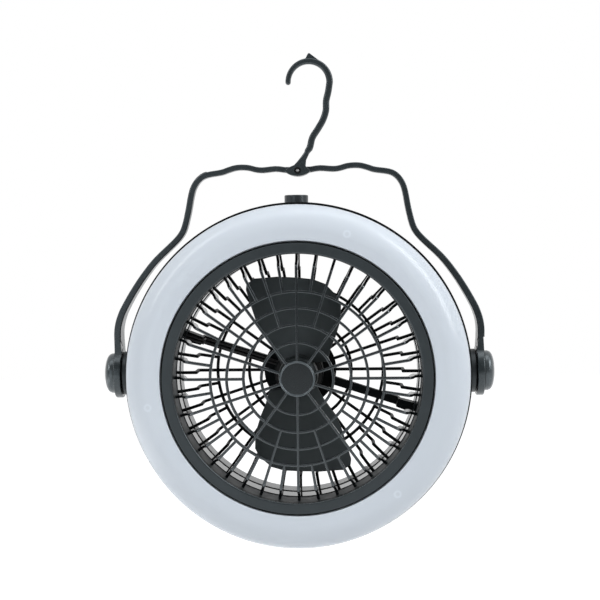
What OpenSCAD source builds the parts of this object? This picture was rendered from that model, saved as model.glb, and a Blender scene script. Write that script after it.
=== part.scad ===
// Portable camping fan with a ring light, a tilting bail and a folding hook.
// The frame's origin is the centre of the hook's curl. +Z is up, and the fan blows towards -Y.
// Shapes below are drawn about the fan's own axis, and in_place() moves them to the frame.

/* [Light ring] */
// Outside diameter of the light diffuser
light_d = 199; // [198:0.2:201]
// Diameter where the diffuser meets the bezel
bezel_d = 156; // [155:0.2:158]
// How far the diffuser stands in front of its own rim
light_bulge = 12.5; // [9:0.5:13]
// Number of lamps on the ring board
led_count = 36; // [18:18:36]

/* [Duct and guards] */
// Inside diameter of the air duct
duct_d = 142; // [141:0.2:142.4]
// Width of a rib of the front guard
rib_w = 1.6; // [1.2:0.1:1.8]
// Width of a rib of the rear guard
rear_rib_w = 1.7; // [1.4:0.1:2]
// Depth of a rib of the front guard
rib_depth = 2.8; // [2:0.1:3.4]
// Radii of the front guard's rings
front_rings = [20.5, 30.7, 40.3, 49.7]; // [16:0.1:52]
// Radii of the rear guard's rings
rear_rings = [31.2, 50.5]; // [28:0.1:52]
// Radius of the flat hub in the middle of the front guard
hub_r = 10.3; // [9.5:0.1:11]
// Number of spokes at the hub
spoke_count = 10; // [8:1:10]

/* [Fan] */
// Thickness of a blade
blade_t = 1.8; // [1.4:0.1:2.2]
// Pitch of a blade against the plane of rotation
blade_pitch = 14; // [8:1:16]
// Radius of the camber across a blade
blade_camber_r = 70; // [60:1:120]
// Radius of the rotor's hub
rotor_hub_r = 11.5; // [10.5:0.1:12]

/* [Housing] */
// Wall thickness of the mouldings
wall = 2.2; // [1.8:0.1:2.4]
// How far the rear shell's rim stands outside the diffuser
rim_step = 1; // [0.6:0.1:1.4]

/* [Tilt pivots] */
// Depth of the tilt axis, in the middle of the rear shell
tilt_y = 14; // [13:0.5:15]
// Height of the tilt axis above the fan's own axis
tilt_z = 0.8; // [0:0.1:2]
// Radius of the body's pivot boss
boss_r = 12.8; // [12:0.1:13]
// Radius of the bail's pivot eye
eye_r = 14.6; // [13.6:0.1:15]
// Radius of the pivot cap
cap_r = 11.8; // [10.5:0.1:12]
// Radius of the steel pivot bushing
bushing_r = 4; // [3.8:0.1:4.4]

/* [Bail] */
// Width of the bail's strap at its middle, as seen from the front
strap_w = 3.3; // [3:0.1:4]

/* [Hook] */
// Inside radius of the hook's curl
curl_r = 10.4; // [9.5:0.1:11.5]
// Width of the hook's stem as seen from the front
hook_w = 3.6; // [3:0.1:3.8]
// Width of the hook at its tip
hook_tip_w = 2.9; // [2.4:0.1:3.4]
// Depth of the hook from front to back
hook_depth = 4; // [3.6:0.1:4.2]

/* [Speed knob] */
// Diameter of the speed knob
knob_d = 14; // [12:0.1:14.4]
// Height of the knob's top above the fan's axis
knob_top = 105.4; // [104:0.1:106]

/* [Hidden] */
$fn = 96;

// Colours
dark = [0.20, 0.22, 0.23];
black = [0.12, 0.13, 0.13];
milky = [0.84, 0.87, 0.90];
steel = [0.72, 0.72, 0.74];
green = [0.10, 0.34, 0.20];
copper = [0.72, 0.42, 0.22];
yellow = [0.95, 0.82, 0.25];
blue = [0.20, 0.35, 0.65];
white = [0.93, 0.93, 0.90];

// The centre of the hook's curl, seen from the fan's axis
seat_x = 7.5;
seat_y = 8;
seat_z = 171.1;

// Depths, measured along Y
front_y = -22.2;
bezel_y = -23;
rim_y = -5;
seam_y = 16.7;
back_y = 33;
frame_front_y = 1;
frame_back_y = 3;
board_t = 1.15;
fit = 0.15;
run_fit = 0.05;

// Light ring
light_r = light_d / 2;
bezel_r = bezel_d / 2;
light_y = -10.5;
light_mid_r = 84.5;
light_wall = 2;
skirt_r = bezel_r - fit - light_wall;
boss_ring_r = 87.3;
boss_angles = [71, 191, 311];
led_angle = 6;

// Housing
duct_r = duct_d / 2;
sleeve_r = duct_r + 2;
rim_r = light_r + rim_step;
shell_r = rim_r - wall;
back_r = 88;
shell_y = 2;
post_ring_r = 87;
post_angles = [32, 62, 118, 148, 258, 282];
post_r = 3.9;
post_y = 10;
post_seat = 21;
grille_screw_ring_r = sleeve_r + 1.3;

// Guards
hub_y = -23;
rear_web_y = 35.4;
rear_back_y = 38.8;
rear_foot_y = 20;
rear_step_r = 61.4;
ring_inset = 0.1;
motor_plate_r = 22;
bridge_angle = 162;
bridge_w = 5;
bridge_r = duct_r - 0.1;
bridge_y = [33, 38.6];

// Motor and rotor
motor_r = 12.2;
motor_front_y = 9.6;
motor_back_y = 36.7;
motor_screw_r = 17.5;
clamp_angle = bridge_angle + 90;
shaft_r = 1;
bearing_r = shaft_r + run_fit;
blade_y = 3.5;
rotor_back_y = 7.6;
rotor_front_y = -6;

// Tilt pivots, measured along X
boss_x = 104.1;
eye_in_x = 104.5;
eye_out_x = 108.9;
cap_out_x = 115.3;
washer_r = 9;
eye_web_x = 106.6;

// Bail and hook
pivot_x = 0.6;
pivot_z = 119.6;
bail_lean = 0.005;
bail_rise = 0.008;
strap_grow = 0.0042;
strap_grow_z = [30, 120.4];
bail_y = [tilt_y - 3.6, tilt_y + 3.6];
hook_y = [bail_y[0] - 0.4 - hook_depth, bail_y[0] - 0.4];
bail_line = [[7.6, 120.4], [13.1, 121.1], [20.6, 120.5], [24.7, 120.9], [28.8, 122], [33, 122.4],
    [37.1, 122.1], [41.3, 120.9], [45.3, 119.6], [53.6, 118.3], [58, 116], [61.3, 111.7], [63.1, 106.3],
    [64.9, 96.7], [67.3, 87.3], [69.7, 82.6], [74, 77.8], [84, 68.3], [91.5, 58.9], [97.7, 49.5],
    [103, 40.1], [105.1, 35.3], [106.5, 30.5], [107.15, 24.4], [106.75, 13.3], [106.55, 4.2]];
bail_flange = [27, 40];
bail_side = [[7.6, -16], [7.6, 14], [7, 30], [5.2, 60], [3.9, 85], [3.6, 100], [3.6, 126]];
hook_line = [[3.4, 126.6], [7.6, 132.3], [9.4, 138.6], [12.8, 143.9], [15.8, 149.1], [17.5, 154.5],
    [17.7, 160], [19, 165.5], [seat_x + curl_r + hook_w / 2, seat_z]];
hook_foot = [[-2.9, 120.5], [-1.6, 122.1], [0.3, 124.6], [2.8, 127.8], [5, 130.8], [8.1, 129.6],
    [5.6, 125.6], [5.5, 121.9], [6.2, 120.5]];
hook_barb = [[-2.1, 12.9], [-0.3, 16.3], [0.3, 16.8], [0.9, 16.6], [10, 9.7], [10.4, 8.9], [0, 11]];
lens_l = 15.2;
lens_h = 6.5;
screw_r = 1.25;

// Blade outline, seen from the front, tip up
blade_outline = [[17, 8], [19.1, 16], [21.6, 21.8], [24, 29.3], [25.1, 34.4], [25.3, 41.5], [22.9, 46.6],
    [16.2, 53.3], [9.1, 56], [0, 57], [-12, 57.6], [-25.6, 56.6], [-30, 53.4], [-30.4, 50],
    [-28.7, 44.1], [-24.4, 30.2], [-19.7, 22], [-15.2, 15.5], [-10, 6]];

// Speed control
knob_x = -0.5;
knob_y = 12;
knob_pocket_r = 7.4;
knob_pocket_z = 97.8;
switch_r = 8;
switch_z = [86, 93.5];
control_z = 79.5;
socket_x = 2;
button_x = 20;
board_y = [back_y - 6.6, back_y - 5.4];
board_pegs = [[-11, 84], [27, 83.5]];

// Battery
cell_r = 9;
cell_l = 65;
cell_angles = [225, 315];
cell_ring_r = duct_r + 11.5;
cell_y = 12.6;
contact_t = 0.6;

// Wires
wire_r = 0.7;
wire_ring_r = 79.5;
wire_step = 1.8;
lead_in_y = bridge_y[0] - wire_r;
lead_out_y = rear_foot_y - wire_r;
lead_r = rear_step_r - 1;
lead_end = 96;
light_lead = [15, 80];

// ---------- Curves ----------

// Points on an arc or an oval, from angle a0 to a1 in n steps
function oval(c, rx, ry, a0, a1, n) =
    [for (i = [0 : n]) let (a = a0 + (a1 - a0) * i / n) [c[0] + rx * cos(a), c[1] + ry * sin(a)]];

// A point of the smooth curve that runs from b to c, with neighbours a and d
function curve_point(a, b, c, d, t) =
    0.5 * (2 * b + (c - a) * t + (2 * a - 5 * b + 4 * c - d) * t * t + (3 * b - a - 3 * c + d) * t * t * t);

// A smooth curve through all the points of p, n steps to each stretch
function smooth(p, n) =
    let (last = len(p) - 1)
    [for (i = [0 : last - 1]) for (k = [0 : n - 1])
        curve_point(p[max(i - 1, 0)], p[i], p[i + 1], p[min(i + 2, last)], k / n), p[last]];

// Unit normal of the curve p at point i
function normal(p, i) =
    let (d = p[min(i + 1, len(p) - 1)] - p[max(i - 1, 0)]) [-d[1], d[0]] / norm(d);

// The curve p moved sideways by w
function beside(p, w) = [for (i = [0 : len(p) - 1]) p[i] + w * normal(p, i)];

function reversed(p) = [for (i = [len(p) - 1 : -1 : 0]) p[i]];

// A band about the curve p, from w0 to w1 beside it
function band(p, w0, w1) = concat(beside(p, w0), reversed(beside(p, w1)));

function mirrored(p) = [for (q = p) [-q[0], q[1]]];

// The curve p with its top pushed to the right, and lifted there
function leaning(p) =
    [for (q = p) [q[0] + bail_lean * q[1], q[1] + bail_rise * q[0] * q[1] / strap_grow_z[1]]];

// One side of the strap along the curve p, which widens towards the pivots
function strap_side(p, side) =
    [for (i = [0 : len(p) - 1]) let (below = strap_grow_z[1] - max(p[i][1], strap_grow_z[0]))
        p[i] + side * (strap_w / 2 + strap_grow * below) * normal(p, i)];

// ---------- Placing ----------

module in_place() translate([-seat_x, -seat_y, -seat_z]) children();

// Turns a profile of [radius, depth] about the fan's axis
module lathe(profile) rotate([-90, 0, 0]) rotate_extrude() polygon(profile);

// Solid from y0 to y1 with a front outline of [x, z]
module plate(y0, y1) translate([0, y1, 0]) rotate([90, 0, 0]) linear_extrude(y1 - y0) children();

// Ring about the fan's axis
module ring(r_in, r_out, y0, y1) lathe([[r_in, y0], [r_out, y0], [r_out, y1], [r_in, y1]]);

// Turns a child from the +X side to angle a, anticlockwise from the front
module at_angle(a) rotate([0, -a, 0]) children();

// Round bar along Y
module bar_y(r, y0, y1) translate([0, y0, 0]) rotate([-90, 0, 0]) cylinder(r = r, h = y1 - y0);

// Round bar along X on the tilt axis
module bar_x(r, x0, x1) translate([x0, tilt_y, tilt_z]) rotate([0, 90, 0]) cylinder(r = r, h = x1 - x0);

// Round bar along Z
module bar_z(r, z0, z1) translate([0, 0, z0]) cylinder(r = r, h = z1 - z0);

module box(x, y, z) translate([x[0], y[0], z[0]]) cube([x[1] - x[0], y[1] - y[0], z[1] - z[0]]);

// A child on the right side and its mirror image on the left
module both_sides() for (m = [0, 1]) mirror([m, 0, 0]) children();

// Screw along Y with its head at the back, at y1
module screw_y(shank_r, head_r, y0, y1, head_h) {
    bar_y(shank_r, y0, y1 - head_h + 0.01);
    difference() {
        bar_y(head_r, y1 - head_h, y1);
        for (a = [0, 90]) rotate([0, a, 0])
            box([-head_r * 0.6, head_r * 0.6], [y1 - 0.5, y1 + 1], [-0.2, 0.2]);
    }
}

// ---------- Hook and bail ----------

module lens() intersection_for(s = [-1, 1])
    translate([pivot_x, pivot_z + s * (lens_l * lens_l / 4 - lens_h * lens_h / 4) / lens_h])
        circle(r = (lens_l * lens_l / 4 + lens_h * lens_h / 4) / lens_h);

module hook() color(dark) in_place() difference() {
    union() {
        plate(hook_y[0], hook_y[1]) polygon(band(smooth(hook_line, 4), -hook_w / 2, hook_w / 2));
        plate(hook_y[0], hook_y[1]) polygon(hook_foot);
        plate(hook_y[0], hook_y[1]) lens();
        translate([seat_x, 0, seat_z]) {
            intersection() {
                translate([(hook_w - hook_tip_w) / 2, 0, 0])
                    bar_y(curl_r + (hook_w + hook_tip_w) / 2, hook_y[0], hook_y[1]);
                box([-20, 20], [-10, 10], [0, 20]);
            }
            translate([-curl_r - hook_tip_w / 2, 0, 0]) bar_y(hook_tip_w / 2, hook_y[0], hook_y[1]);
            plate(hook_y[0] + 0.4, hook_y[1] - 0.4)
                polygon(hook_barb);
        }
    }
    translate([seat_x, 0, seat_z]) bar_y(curl_r, hook_y[0] - 1, hook_y[1] + 1);
    translate([pivot_x, 0, pivot_z]) {
        bar_y(screw_r + 0.05, hook_y[0] - 1, hook_y[1] + 1);
        bar_y(2, hook_y[0] - 1, hook_y[0] + 1.4);
    }
}

module bail() color(dark) in_place() difference() {
    union() {
        half = smooth(bail_line, 3);
        line = leaning(concat(reversed(mirrored(half)), half));
        intersection() {
            plate(tilt_y - 10, tilt_y + 10)
                polygon(concat(strap_side(line, -1), reversed(strap_side(line, 1))));
            translate([-125, tilt_y, 0]) rotate([90, 0, 90]) linear_extrude(250)
                polygon(concat(bail_side, reversed(mirrored(bail_side))));
        }
        plate(bail_y[0], bail_y[1]) lens();
        plate(bail_y[1] - 1.3, bail_y[1])
            polygon(band(leaning(mirrored([for (i = [bail_flange[0] : bail_flange[1]]) half[i]])),
                -strap_w / 2 - 0.9, 0));
        both_sides() bar_x(eye_r, eye_in_x, eye_out_x);
    }
    translate([pivot_x, 0, pivot_z]) bar_y(screw_r - 0.25, bail_y[0] - 1, bail_y[1] - 1);
    both_sides() {
        bar_x(bushing_r + 0.05, 90, 120);
        bar_x(washer_r + 0.2, 90, eye_in_x + 1);
        bar_x(8, eye_web_x, 120);
    }
}

module hook_screw() color(steel) in_place() translate([pivot_x, 0, pivot_z]) {
    bar_y(screw_r, hook_y[0] + 1.3, bail_y[0]);
    bar_y(screw_r - 0.25, bail_y[0] - 0.01, bail_y[1] - 1.5);
    difference() {
        bar_y(1.8, hook_y[0] + 0.3, hook_y[0] + 1.35);
        box([-1.3, 1.3], [hook_y[0] - 1, hook_y[0] + 0.8], [-0.25, 0.25]);
    }
}

module friction_washers() color(black) in_place() both_sides() difference() {
    bar_x(washer_r, boss_x + run_fit, eye_in_x + 1);
    bar_x(5, 90, 120);
}

// Domed cap with a hollow plug, on the right side
module pivot_cap() difference() {
    union() {
        bar_x(cap_r, eye_out_x, eye_out_x + 2.6);
        translate([0, tilt_y, tilt_z]) rotate([0, 90, 0]) rotate_extrude()
            polygon(concat([[0, eye_out_x + 2.5]],
                oval([0, eye_out_x + 2.5], cap_r, cap_out_x - eye_out_x - 2.5, 0, 90, 12)));
        bar_x(7.95, eye_web_x + 0.9, eye_out_x + 0.1);
    }
    bar_x(6.6, eye_web_x, eye_out_x + 2);
}

module left_pivot_cap() color(dark) in_place() mirror([1, 0, 0]) pivot_cap();
module right_pivot_cap() color(dark) in_place() pivot_cap();

// ---------- Housing ----------

module rear_housing() color(dark) in_place() difference() {
    union() {
        lathe(concat([[shell_r, rim_y], [rim_r, rim_y]],
            oval([back_r, shell_y], rim_r - back_r, back_y - shell_y, 0, 90, 14),
            oval([duct_r + 1.5, back_y - 1.5], 1.5, 1.5, 90, 180, 4),
            [[duct_r, seam_y + fit], [sleeve_r, seam_y + fit], [sleeve_r, back_y - wall]],
            oval([back_r - 1, shell_y], shell_r - back_r + 1, back_y - wall - shell_y, 90, 0, 14)));
        for (a = post_angles) at_angle(a) translate([post_ring_r, 0, 0]) bar_y(post_r, post_y, back_y - 1);
        both_sides() difference() {
            union() {
                bar_x(boss_r, 92, boss_x);
                bar_x(7, 85, 95);
            }
            ring(0, light_r + 0.3, -30, rim_y);
            ring(0, shell_r, -30, frame_back_y);
        }
        translate([knob_x, knob_y, 0]) bar_z(9, 95.4, 98.5);
        for (p = board_pegs) translate([p[0], 0, p[1]]) {
            bar_y(2.2, board_y[1], back_y - 1);
            bar_y(0.95, board_y[0] - 0.8, board_y[1] + 0.1);
        }
    }
    for (a = post_angles) at_angle(a) translate([post_ring_r, 0, 0]) {
        bar_y(1.5, 0, back_y + 1);
        bar_y(2.8, post_seat, back_y + 1);
    }
    both_sides() {
        bar_x(bushing_r, boss_x - 2, boss_x + 5);
        bar_x(1.7, 88, boss_x + 5);
    }
    translate([knob_x, knob_y, 0]) {
        bar_z(knob_pocket_r, knob_pocket_z, 120);
        bar_z(3.6, 90, 120);
    }
    translate([socket_x, 0, control_z]) box([-4.7, 4.7], [back_y - 4, back_y + 1], [-1.8, 1.8]);
    translate([button_x, 0, control_z]) bar_y(4.2, back_y - 4, back_y + 1);
    at_angle(bridge_angle) translate([duct_r, lead_out_y, 0])
        box([-5, 5], [-wire_r - 0.3, wire_r + 0.2], [-1.8, 1.8]);
}

// One rib of the front guard, from radius r0 to the duct wall, with a deep root along the wall
module front_rib(r0) linear_extrude(rib_w, center = true) {
    back = front_y + rib_depth;
    polygon([[r0, front_y], [62.6, front_y], [64.4, front_y + 0.4], [65.6, front_y + 1.9],
        [66.4, front_y + 4.2], [67.2, front_y + 7.6], [68.4, front_y + 10.4], [duct_r + 0.6, front_y + 11.8],
        [duct_r + 0.6, front_y + 18.7], [67.6, front_y + 19], [66.2, front_y + 19.4],
        [65.2, front_y + 16.7], [64, front_y + 10.2], [63, front_y + 5], [61.6, back + 0.4], [60, back],
        [r0, back]]);
}

module front_grille() color(dark) in_place() {
    lathe(concat(oval([duct_r + 1.2, bezel_y + 1.2], 1.2, 1.2, 180, 270, 4),
        [[bezel_r - 0.8, bezel_y], [bezel_r, bezel_y + 0.8], [bezel_r, bezel_y + 2],
        [sleeve_r, bezel_y + 2.2], [sleeve_r, frame_front_y + 1 - fit], [duct_r, frame_front_y + 1 - fit]]));
    for (r = front_rings)
        ring(r - rib_w / 2, r + rib_w / 2, front_y + ring_inset, front_y + rib_depth - ring_inset);
    for (i = [0 : spoke_count - 1]) at_angle(90 + i * 360 / spoke_count) {
        front_rib(hub_r - 1);
        at_angle(180 / spoke_count) front_rib(front_rings[1]);
        for (s = [90, 270]) at_angle(s / spoke_count) front_rib(front_rings[3]);
    }
    lathe([[0, hub_y + 0.5], [hub_r - 1.1, hub_y + 0.5], [hub_r - 0.8, hub_y], [hub_r - 0.2, hub_y],
        [hub_r, hub_y + 0.3], [hub_r, front_y + rib_depth - 0.2], [0, front_y + rib_depth - 0.2]]);
    for (a = boss_angles) at_angle(a + 60) translate([grille_screw_ring_r, 0, 0])
        difference() {
            bar_y(1.45, bezel_y + 2, frame_front_y - fit);
            bar_y(0.7, frame_front_y - 8, frame_front_y + 1);
        }
}

// One rib of the rear guard, from radius r0, stepping forward to a foot on the duct wall
module rear_rib(r0) linear_extrude(rear_rib_w, center = true)
    polygon([[r0, rear_web_y], [rear_step_r - 0.8, rear_web_y], [rear_step_r - 0.2, rear_web_y - 0.6],
        [rear_step_r - 0.1, rear_foot_y + 0.6], [rear_step_r + 0.6, rear_foot_y], [duct_r, rear_foot_y],
        [duct_r, rear_foot_y + 3.4], [rear_step_r + 2.6, rear_foot_y + 3.8],
        [rear_step_r + 2, rear_foot_y + 4.6], [rear_step_r + 1.8, rear_back_y - 0.8],
        [rear_step_r + 1, rear_back_y], [r0, rear_back_y]]);

module rear_grille() color(black) in_place() difference() {
    union() {
        ring(0, motor_plate_r, rear_back_y - 2, rear_back_y + ring_inset);
        ring(motor_r + 0.1, motor_r + 2.2, motor_front_y + 1.6, rear_back_y - 1);
        for (s = [0, 180]) at_angle(s + clamp_angle) translate([motor_screw_r, 0, 0])
            bar_y(2.6, motor_front_y + 0.1, rear_back_y - 1);
        for (r = rear_rings)
            ring(r - rear_rib_w / 2, r + rear_rib_w / 2, rear_web_y + ring_inset, rear_back_y - ring_inset);
        for (i = [0 : spoke_count - 1]) at_angle(90 + i * 360 / spoke_count) {
            rear_rib(motor_plate_r - 1);
            at_angle(180 / spoke_count) rear_rib(motor_plate_r - 1);
            for (s = [90, 270]) at_angle(s / spoke_count) rear_rib(rear_rings[1]);
        }
        for (s = [0, 180]) at_angle(s + bridge_angle) {
            box([20, rear_step_r + 1.6], bridge_y, [-bridge_w / 2, bridge_w / 2]);
            plate(rear_foot_y + ring_inset, bridge_y[0] + 0.01)
                polygon([[rear_step_r, -bridge_w / 2], [bridge_r, -bridge_w * 0.6],
                    [bridge_r, bridge_w * 0.6], [rear_step_r, bridge_w / 2]]);
        }
    }
    for (s = [0, 180]) at_angle(s + clamp_angle) translate([motor_screw_r, 0, 0])
        bar_y(0.9, 0, motor_front_y + 8);
    at_angle(bridge_angle) translate([motor_r, lead_in_y, 0])
        box([-1, 3], [-wire_r - 0.2, wire_r + 0.2], [-1.8, 1.8]);
}

module inner_frame() color(black) in_place() difference() {
    union() {
        lathe([[duct_r, frame_front_y + 1], [sleeve_r + fit, frame_front_y + 1],
            [sleeve_r + fit, frame_front_y], [shell_r - 2.6, frame_front_y],
            [shell_r - 2.6, frame_back_y], [sleeve_r, frame_back_y], [sleeve_r, seam_y], [duct_r, seam_y]]);
        for (a = post_angles) at_angle(a) translate([post_ring_r, 0, 0])
            bar_y(3, frame_back_y - 0.5, post_y - 0.15);
    }
    for (a = post_angles) at_angle(a) translate([post_ring_r, 0, 0])
        bar_y(1.1, frame_back_y + 0.4, post_y + 1);
    for (a = boss_angles) at_angle(a) translate([boss_ring_r, 0, 0]) {
        bar_y(1.4, -10, 10);
        bar_y(2.4, frame_back_y - 0.6, 10);
    }
    for (a = boss_angles) at_angle(a + 60) translate([grille_screw_ring_r, 0, 0]) bar_y(0.95, -10, 10);
    translate([light_lead[0], 0, light_lead[1]]) bar_y(2.2, -10, 10);
}

module diffuser_ring() color(milky) in_place() {
    lathe(concat([[skirt_r, frame_front_y - fit], [skirt_r, bezel_y + 2.4], [bezel_r + fit, bezel_y + 2.4]],
        oval([bezel_r + fit + 1.4, bezel_y + 1.4], 1.4, 1.4, 180, 240, 4),
        oval([light_mid_r, light_y], light_r - light_mid_r, light_bulge, 270, 360, 18),
        [[light_r, rim_y - fit], [shell_r - fit, rim_y - fit], [shell_r - fit, frame_front_y],
        [shell_r - fit - light_wall, frame_front_y], [shell_r - fit - light_wall, light_y]],
        oval([light_mid_r, light_y], light_r - light_mid_r - light_wall - 1,
            light_bulge - light_wall, 360, 280, 12),
        [[skirt_r + light_wall, light_y - light_bulge + light_wall + 1.6],
        [skirt_r + light_wall, frame_front_y - fit]]));
    for (a = boss_angles) at_angle(a) translate([boss_ring_r, 0, 0]) difference() {
        bar_y(3, light_y - light_bulge + light_wall - 0.4, frame_front_y - board_t - 0.2);
        bar_y(0.9, light_y - 6, 0);
    }
}

// ---------- Light ----------

module led_board() color(white) in_place() difference() {
    ring(skirt_r + light_wall + 0.6, shell_r - light_wall - 1, frame_front_y - board_t, frame_front_y);
    for (a = boss_angles) at_angle(a) translate([boss_ring_r, 0, 0]) bar_y(1.4, -10, 10);
}

module leds() color(yellow) in_place() for (i = [0 : led_count - 1])
    at_angle(led_angle + i * 360 / led_count) translate([boss_ring_r, 0, 0])
        box([-1.75, 1.75], [frame_front_y - board_t - 1.2, frame_front_y - board_t], [-1.4, 1.4]);

// ---------- Fasteners ----------

module pivot_bushings() color(steel) in_place() both_sides() difference() {
    bar_x(bushing_r, boss_x - 2, eye_web_x + 0.25);
    bar_x(2.1, 90, 120);
}

module pivot_screws() color(steel) in_place() both_sides() difference() {
    union() {
        bar_x(1.65, 89, boss_x - 1);
        bar_x(2, boss_x - 1.5, eye_web_x + 1);
        bar_x(6.2, eye_web_x + 0.3, eye_web_x + 0.9);
        bar_x(3.6, eye_web_x + 0.85, eye_web_x + 3);
    }
    for (a = [0, 90]) translate([0, tilt_y, tilt_z]) rotate([a, 0, 0])
        box([eye_web_x + 2, 120], [-2, 2], [-0.35, 0.35]);
}

module diffuser_screws() color(steel) in_place() for (a = boss_angles)
    at_angle(a) translate([boss_ring_r, 0, 0]) screw_y(0.9, 2.2, light_y + 2, frame_back_y + 0.5, 1.1);

module grille_screws() color(steel) in_place() for (a = boss_angles)
    at_angle(a + 60) translate([grille_screw_ring_r, 0, 0])
        screw_y(0.7, 1.2, frame_front_y - 7, frame_back_y + 0.9, 0.9);

module housing_screws() color(steel) in_place() for (a = post_angles)
    at_angle(a) translate([post_ring_r, 0, 0]) screw_y(1.1, 2.6, frame_back_y + 1, post_seat + 1.6, 1.6);

// ---------- Motor and rotor ----------

module motor_can() color(steel) in_place() {
    lathe([[bearing_r, motor_front_y - 1.2], [3, motor_front_y - 1.2], [3, motor_front_y],
        [motor_r, motor_front_y], [motor_r, motor_back_y - 1.5], [motor_r - 0.8, motor_back_y - 1.5],
        [motor_r - 0.8, motor_front_y + 0.8], [bearing_r, motor_front_y + 0.8]]);
}

module motor_magnets() color(black) in_place() difference() {
    ring(9.5, motor_r - 0.8, motor_front_y + 2, motor_back_y - 3);
    box([-20, 20], [0, motor_back_y], [-2.5, 2.5]);
}

module motor_end_cap() color(black) in_place()
    lathe([[bearing_r, motor_back_y - 1.5], [motor_r, motor_back_y - 1.5], [motor_r, motor_back_y],
        [0, motor_back_y], [0, motor_back_y - 0.5], [bearing_r, motor_back_y - 0.5]]);

module motor_clamp() color(steel) in_place() difference() {
    union() {
        ring(3.2, motor_r + 1.5, motor_front_y - 1.2, motor_front_y);
        for (s = [0, 180]) at_angle(s + clamp_angle)
            box([10, motor_screw_r], [motor_front_y - 1.2, motor_front_y], [-3, 3]);
        for (s = [0, 180]) at_angle(s + clamp_angle) translate([motor_screw_r, 0, 0])
            bar_y(3, motor_front_y - 1.2, motor_front_y);
    }
    for (s = [0, 180]) at_angle(s + clamp_angle) translate([motor_screw_r, 0, 0]) bar_y(1.2, 0, 20);
}

module motor_screws() color(steel) in_place() for (s = [0, 180])
    at_angle(s + clamp_angle) translate([motor_screw_r, 2 * motor_front_y - 1.2, 0])
        mirror([0, 1, 0]) screw_y(0.9, 2, motor_front_y - 7, motor_front_y + 1.2, 1.2);

// One blade, pitched about its own length and cambered across it
module blade() intersection() {
    plate(-30, 30) polygon(blade_outline);
    translate([0, blade_y, 0]) rotate([0, 0, -blade_pitch]) translate([0, -blade_camber_r, 0]) difference() {
        cylinder(r = blade_camber_r + blade_t / 2, h = 70);
        translate([0, 0, -1]) cylinder(r = blade_camber_r - blade_t / 2, h = 72);
        translate([0, -15, 35]) cube([4 * blade_camber_r, 2 * blade_camber_r, 80], center = true);
    }
}

module fan_rotor() color(black) in_place() difference() {
    union() {
        for (s = [0, 180]) at_angle(s) blade();
        lathe(concat([[0, rotor_back_y], [rotor_hub_r, rotor_back_y]],
            reversed(oval([0, rotor_front_y], rotor_hub_r, 4.5, 270, 360, 10))));
    }
    ring(2.2, rotor_hub_r - 2, rotor_front_y + 1, rotor_back_y + 1);
    bar_y(shaft_r, rotor_front_y, 20);
}

module motor_shaft() color(steel) in_place() bar_y(shaft_r, rotor_front_y + 0.5, motor_back_y - 0.7);

module motor_armature() color(copper) in_place() difference() {
    ring(shaft_r, 9, motor_front_y + 2.5, motor_back_y - 3.5);
    for (a = [0 : 120 : 240]) at_angle(a) box([5, 12], [0, motor_back_y], [-1, 1]);
}

// ---------- Electronics ----------

module speed_switch() color(steel) in_place() translate([knob_x, knob_y, 0]) difference() {
    union() {
        bar_z(switch_r, switch_z[0], switch_z[1]);
        bar_z(3.6 - run_fit, switch_z[1] - 0.5, 97);
        for (x = [-4, 0, 4])
            box([x - 0.5, x + 0.5], [0, board_y[0] - knob_y], [switch_z[0], switch_z[0] + 0.8]);
    }
    bar_z(3 + run_fit, switch_z[0] + 1.5, 100);
}

module switch_shaft() color(steel) in_place() translate([knob_x, knob_y, 0]) difference() {
    bar_z(3, switch_z[0] + 1.6, knob_top - 1.8);
    box([-4, 4], [1.6, 4], [98.6, 110]);
}

module speed_knob() color(black) in_place() translate([knob_x, knob_y, 0]) difference() {
    rotate_extrude() polygon(concat([[0, 98.2], [knob_d / 2, 98.2]],
        oval([knob_d / 2 - 0.5, knob_top - 0.5], 0.5, 0.5, 0, 90, 4), [[0, knob_top]]));
    difference() {
        bar_z(3, 90, knob_top - 1.7);
        box([-4, 4], [1.62, 4], [98.6, 110]);
    }
    for (i = [0 : 23]) rotate([0, 0, i * 15]) translate([knob_d / 2 + 0.25, 0, 0])
        bar_z(0.5, 98, knob_top - 0.9);
}

module control_board() color(green) in_place() difference() {
    box([-14, 30], board_y, [75.4, 87]);
    for (p = board_pegs) translate([p[0], 0, p[1]]) bar_y(1, 0, back_y);
}

module light_switch() color(black) in_place() translate([button_x, 0, control_z]) {
    box([-3, 3], [board_y[1], board_y[1] + 1.6], [-3, 3]);
    bar_y(1.75, board_y[1] + 1.5, board_y[1] + 2.1);
}

module light_button() color(black) in_place() translate([button_x, 0, control_z])
    lathe(concat([[0, back_y - 2.6], [5, back_y - 2.6], [5, back_y - 2.35], [4, back_y - 2.35]],
        oval([3.4, back_y + 0.6], 0.6, 0.6, 0, 90, 4), [[0, back_y + 1.2]]));

module charging_socket() color(steel) in_place() translate([socket_x, 0, control_z]) {
    difference() {
        box([-4.5, 4.5], [board_y[1], back_y - 0.4], [-1.6, 1.6]);
        box([-4.1, 4.1], [board_y[1] + 1, back_y], [-1.25, 1.25]);
    }
    box([-3.3, 3.3], [board_y[1] + 0.9, back_y - 1.2], [-0.35, 0.35]);
}

module battery_cells() color(blue) in_place() for (a = cell_angles)
    at_angle(a) translate([cell_ring_r, cell_y, -cell_l / 2]) {
        bar_z(cell_r, 0, cell_l - 1);
        bar_z(3, cell_l - 1.01, cell_l);
    }

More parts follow.
